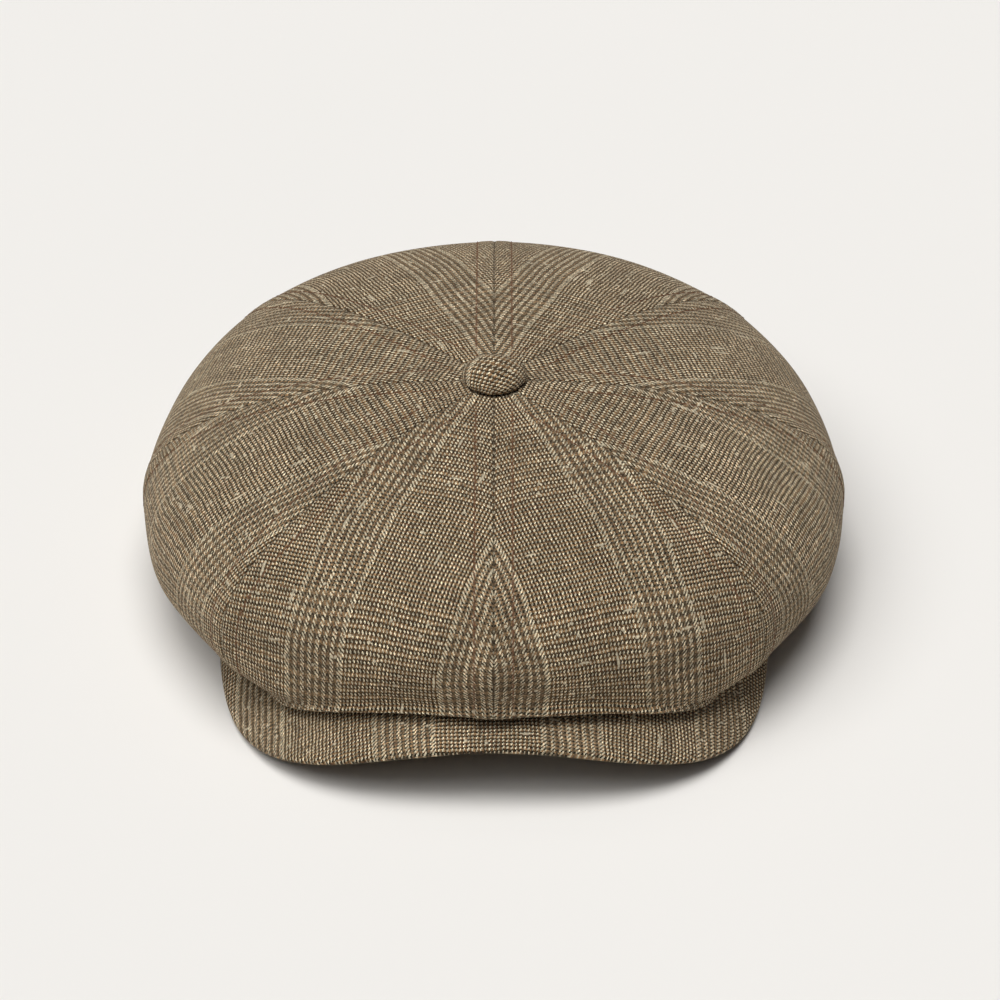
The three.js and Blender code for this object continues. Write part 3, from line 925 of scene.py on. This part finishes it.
def visor_surface(turn, out, lift):
    across, forward = visor_plan(turn, out)
    step = 0.5
    rise_across = visor_height(across + step, forward) - visor_height(across - step, forward)
    rise_forward = visor_height(across, forward + step) - visor_height(across, forward - step)
    normal = np.stack([-rise_across, -rise_forward, np.full_like(across, 2 * step)], -1)
    normal /= np.linalg.norm(normal, axis=-1, keepdims=True)
    point = np.stack([across, forward, visor_height(across, forward)], -1)
    return point + normal * np.asarray(lift)[..., None]


EDGE_ROUNDING = 2.4
EDGE_THICK = 0.06  # half the gap between the covers at the very edge
COVER_THICK = 0.6
VISOR_RIPPLE = 0.22
UNDER_SLACK = 0.45  # the under cover hangs this much looser than the upper one
VISOR_CLOSE_SET = 1.2  # the visor's weft threads lie this much closer than the crown's
VISOR_SHIFT = (115, 50)  # where the visor is cut from the cloth, in threads
visor_ripple = SoftNoise(23, 3, 21)


def make_visor_cover(name, node, side, material):
    """side is 1 for the upper cover and -1 for the lower one; they meet at the outer edge."""
    turn = np.linspace(-1, 1, 181)
    flat_steps = np.linspace(0, 1, 36, endpoint=False)
    edge_turns = np.linspace(0, math.pi / 2, 9)
    far = np.stack(visor_plan(turn, np.ones_like(turn)), -1)
    near = np.stack(visor_plan(turn, np.zeros_like(turn)), -1)
    width = np.linalg.norm(far - near, axis=-1)
    rounding = np.minimum(EDGE_ROUNDING, 0.4 * width)
    half_thick = VISOR_HALF_THICK if side > 0 else VISOR_HALF_THICK + UNDER_SLACK
    rows, lifts = [], []
    for t in flat_steps:
        rows.append(t * (1 - rounding / width))
        lifts.append(np.full_like(turn, half_thick))
    for a in edge_turns:
        rows.append(1 - rounding / width * (1 - math.sin(a)))
        lifts.append(np.full_like(turn, EDGE_THICK + (half_thick - EDGE_THICK) * math.cos(a)))
    out = np.array(rows)
    lift = np.array(lifts)
    turns = np.repeat(turn[None], len(out), axis=0)
    ripple = VISOR_RIPPLE * visor_ripple((turns + 1) / 2.2, out) * smoothstep(out, 0.1, 0.6)
    outside = visor_surface(turns, out, side * lift + ripple)
    inner_lift = np.maximum(lift - COVER_THICK, EDGE_THICK / 2)
    inside = visor_surface(turns, out * (1 - 0.4 / width), side * inner_lift + ripple)
    across, forward = visor_plan(turns, out)
    bent = VISOR_ARCH * np.arcsin(np.clip(across / VISOR_ARCH, -0.9, 0.9))
    along = VISOR_CLOSE_SET * forward / math.cos(VISOR_SLOPE)
    weave = threads(np.stack([bent, along], -1), VISOR_SHIFT)
    if side < 0:
        outside, inside, weave = (grid[:, ::-1] for grid in (outside, inside, weave))
    cover = closed_sheet(name, metres(outside)[::-1], metres(inside)[::-1], weave[::-1],
                         np.full_like(out, FAR_FROM_SEAMS))
    paint(cover, material)
    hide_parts(node)
    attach(cover, "visor")


# ---- sweatband and label -------------------------------------------------------------------------

RIM_TILT = math.atan(RIM_SLOPE)
BAND_OFF_RIM = 0.4
BAND_STITCHES = 176
BAND_STITCH_SHARE = 0.76  # of the way from one stitch to the next
BAND_STITCH_ROWS = {"lower": 3.4, "upper": 29.2}  # heights up the band
LABEL_HALF_WIDTH = 22
LABEL_HALF_HEIGHT = 9


def band_point(angle, inward, height):
    """A point of the band: inward millimetres from its outside and height up from its edge."""
    half_width = HEAD_HALF_WIDTH - BAND_OFF_RIM - inward
    half_length = (HEAD_HALF_LENGTH - BAND_OFF_RIM) / math.cos(RIM_TILT) - inward
    across = half_width * np.sin(angle)
    ahead = half_length * np.cos(angle)
    forward = ahead * math.cos(RIM_TILT) - height * math.sin(RIM_TILT)
    up = rim_height(0) + ahead * math.sin(RIM_TILT) + height * math.cos(RIM_TILT)
    return np.stack([across, forward, up], -1)


band_wave = SoftNoise(17, 2, 31)


def band_inset(angle, height):
    """The band leans in a little towards its free upper edge, in soft waves."""
    up = height / BAND_HEIGHT
    return up**1.5 * (1.1 + 0.9 * band_wave(angle / TURN, up))


def on_band(angle, up):
    """Places just proud of the band's inner face, all at one height up it."""
    height = np.full_like(angle, up)
    return band_point(angle, band_inset(angle, height) + BAND_THICK + 0.1, height)


def make_sweatband(cotton, thread):
    around = np.linspace(0, TURN, 260, endpoint=False)
    heights = np.linspace(0, BAND_HEIGHT, 25)
    angle, height = np.meshgrid(around, heights)
    inset = band_inset(angle, height)
    lower_roll = 0.45 * np.exp(-(((height - 1.2) / 1.3) ** 2))
    upper_roll = 0.4 * np.exp(-(((height - (BAND_HEIGHT - 1)) / 1.2) ** 2))
    outer = band_point(angle, inset, height)
    inner = band_point(angle, inset + BAND_THICK + (lower_roll + upper_roll), height)
    mean_radius = (HEAD_HALF_LENGTH + HEAD_HALF_WIDTH) / 2
    cloth = np.stack([angle * mean_radius, height], -1) / THREAD
    band = closed_sheet("sweatband_cloth", metres(inner), metres(outer), cloth, loop=True)
    paint(band, cotton)
    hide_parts("sweatband")
    follow(band, True)

    for row, up in BAND_STITCH_ROWS.items():
        start = np.arange(BAND_STITCHES) * TURN / BAND_STITCHES
        end = start + BAND_STITCH_SHARE * TURN / BAND_STITCHES
        inward = np.stack([-np.sin(start), -np.cos(start), np.zeros_like(start)], -1)
        piece = stitches(f"band_stitches_{row}", in_frame(on_band(start, up)),
                         in_frame(on_band(end, up)), frame_direction(inward), 0.5)
        paint(piece, thread)
        follow(piece, True)


def make_label(ribbon):
    x = np.linspace(-LABEL_HALF_WIDTH, LABEL_HALF_WIDTH, 45)
    y = np.linspace(-LABEL_HALF_HEIGHT, LABEL_HALF_HEIGHT, 19)
    across, up = np.meshgrid(x, y)
    angle = math.pi - across / (HEAD_HALF_WIDTH * 0.99)
    level = BAND_HEIGHT / 2 + up
    puff = 0.35 * np.cos(across / LABEL_HALF_WIDTH * math.pi / 2)
    puff = puff * np.cos(up / LABEL_HALF_HEIGHT * math.pi / 2)
    depth = band_inset(angle, level) + BAND_THICK + 0.15
    back = band_point(angle, depth, level)
    face = band_point(angle, depth + 0.35 + puff, level)
    edge = np.minimum(LABEL_HALF_WIDTH - np.abs(across), LABEL_HALF_HEIGHT - np.abs(up))
    cloth = np.stack([across, up], -1) / THREAD
    label = closed_sheet("size_label_ribbon", metres(face), metres(back), cloth, edge)
    paint(label, ribbon)
    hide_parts("size_label")
    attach(label, "crown")


# ---- button --------------------------------------------------------------------------------------

BUTTON_TURNED_AT = 0.86  # share of the way out at which the cloth turns under the edge
BUTTON_EDGE_HEIGHT = 1.3
BUTTON_COVER_THICK = 0.9
BUTTON_WEAVE_LEAN = math.radians(24)
BUTTON_SHIFT = (75, 90)  # where the button's cloth is cut, in threads


def make_button(material):
    """A covered button: a domed disc whose cloth is gathered under its edge."""
    around = np.linspace(0, TURN, 96, endpoint=False)
    steps = np.concatenate([[0.004], np.linspace(0.03, 1, 34)])
    angle, t = np.meshgrid(around, steps)
    # From the crown of the dome out to the edge, then a short way in underneath.
    over = np.minimum(t / BUTTON_TURNED_AT, 1) * math.pi / 2
    under = np.clip((t - BUTTON_TURNED_AT) / (1 - BUTTON_TURNED_AT), 0, 1)
    radius = BUTTON_RADIUS * np.sin(over) ** 0.93 * (1 - 0.16 * under**1.5)
    dome = (BUTTON_RISE - BUTTON_EDGE_HEIGHT) * np.cos(over) ** 0.95
    height = dome + BUTTON_EDGE_HEIGHT - BUTTON_EDGE_HEIGHT * np.sin(under * math.pi / 2)
    gathered = 0.18 * np.sin(angle * 17 + 1.5 * np.sin(angle * 3)) * smoothstep(t, 0.7, 1)
    uneven = 0.12 * np.sin(angle * 2 + 0.6) + 0.1 * np.sin(angle * 3 + 2)
    radius = radius + gathered + uneven * smoothstep(t, 0.2, 0.8) - 0.25 * smoothstep(t, 0.3, 0.8)
    height = height + 0.12 * np.sin(angle * 2 + 1.1) * smoothstep(t, 0.1, 0.5) * (1 - under)
    inner_radius = np.maximum(radius - BUTTON_COVER_THICK * np.sin(over), 0.05)
    inner_height = np.maximum(height - BUTTON_COVER_THICK * np.cos(over) - 0.1, 0.02)

    def on_button(radius, height):
        up = height + (BUTTON_BASE - LIFT)
        return np.stack([radius * np.sin(angle), radius * np.cos(angle), up], -1)

    arc = BUTTON_RADIUS * 1.12 * over / (math.pi / 2)
    leaning = angle + BUTTON_WEAVE_LEAN
    cloth = np.stack([arc * np.sin(leaning), arc * np.cos(leaning)], -1) / THREAD + BUTTON_SHIFT
    cover = closed_sheet("button_cloth", metres(on_button(radius, height)),
                         metres(on_button(inner_radius, inner_height)), cloth,
                         np.full_like(t, FAR_FROM_SEAMS), loop=True, domed=True)
    paint(cover, material)
    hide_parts("button_cover")
    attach(cover, "crown")


# ---- studio --------------------------------------------------------------------------------------

FLOOR_SIZE = 12
SKY_COLOUR = linear(205, 222, 255)
SKY_STRENGTH = 0.04
# Even light from wide patches of sky: degrees round from the front, where minus is the picture's
# left, degrees up, strength, and degrees from side to side of the patch.
SOFT_SUNS = {
    "ceiling_light": (0, 89, 1.82, 38),
    "left_window": (-68, 58, 1.0, 40),
    "left_back_light": (-130, 64, 0.2, 40),
    "front_light": (-25, 54, 0.36, 40),
}

CAMERA_AIM = (2.3, 9.94, 36.06)  # across, forward and up, in millimetres
CAMERA_ELEVATION = math.radians(35.45)
CAMERA_DISTANCE = 1.4
CAMERA_LENS = 129.6
CAMERA_FILM = 36


def make_floor():
    bpy.ops.mesh.primitive_plane_add(size=FLOOR_SIZE, location=(0, 0, 0))
    floor = bpy.context.object
    floor.name = "studio_floor"
    n = Nodes("studio_paper")
    grain = n.noise(n.place(), 3.0, 2.0)
    colour = n.mix(grain, linear(238, 235, 230), linear(240, 237, 232))
    paint(floor, n.finish(colour, 1.0, Specular_IOR_Level=0.0))


def make_light():
    world = bpy.data.worlds.new("studio_air")
    bpy.context.scene.world = world
    world.use_nodes = True
    background = world.node_tree.nodes["Background"]
    background.inputs["Color"].default_value = SKY_COLOUR
    background.inputs["Strength"].default_value = SKY_STRENGTH
    for name, (round_from_front, height, strength, spread) in SOFT_SUNS.items():
        data = bpy.data.lights.new(name, "SUN")
        data.energy = strength
        data.angle = math.radians(spread)
        light = add_object(name, data)
        light.rotation_euler = (math.radians(90 - height), 0, math.radians(round_from_front))


def make_camera():
    """The camera looks down at the cap's front."""
    data = bpy.data.cameras.new("camera")
    data.sensor_width = CAMERA_FILM
    data.lens = CAMERA_LENS
    data.clip_end = 50
    camera = add_object("camera", data)
    back = np.array([0, -math.cos(CAMERA_ELEVATION), math.sin(CAMERA_ELEVATION)])
    camera.location = metres(np.array(CAMERA_AIM)) + CAMERA_DISTANCE * back
    camera.rotation_euler = (math.pi / 2 - CAMERA_ELEVATION, 0, 0)
    bpy.context.scene.camera = camera


# ---- the whole cap -------------------------------------------------------------------------------


def paint_frame():
    """Gives the CAD pieces that no cloth replaces their real finishes."""
    finishes = {"visor_board": make_board_plastic()}
    steel = make_button_steel()
    for node in ("button_shell", "button_back", "button_washer"):
        finishes[node] = steel
    for node, material in finishes.items():
        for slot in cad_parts[node].material_slots:
            slot.material = material


def main():
    bpy.context.scene.view_settings.view_transform = "Standard"
    make_camera()
    make_floor()
    make_light()
    check_cloth = make_check_cloth("glen_check", CHECK_ALONG)
    visor_cloth = make_check_cloth("visor_check", (0, CHECK_ALONG[1]))
    rust_thread = make_thread("rust_thread", RUST)
    band_thread = make_thread("band_thread", BAND_THREAD)
    make_gores(check_cloth, make_satin())
    seam_stitches(rust_thread)
    make_visor_cover("visor_upper_cloth", "visor_top_cover", 1, visor_cloth)
    make_visor_cover("visor_lower_cloth", "visor_under_cover", -1, visor_cloth)
    make_sweatband(make_band_cotton(), band_thread)
    make_label(make_label_weave())
    make_button(check_cloth)
    paint_frame()


main()
bpy.context.view_layer.update()
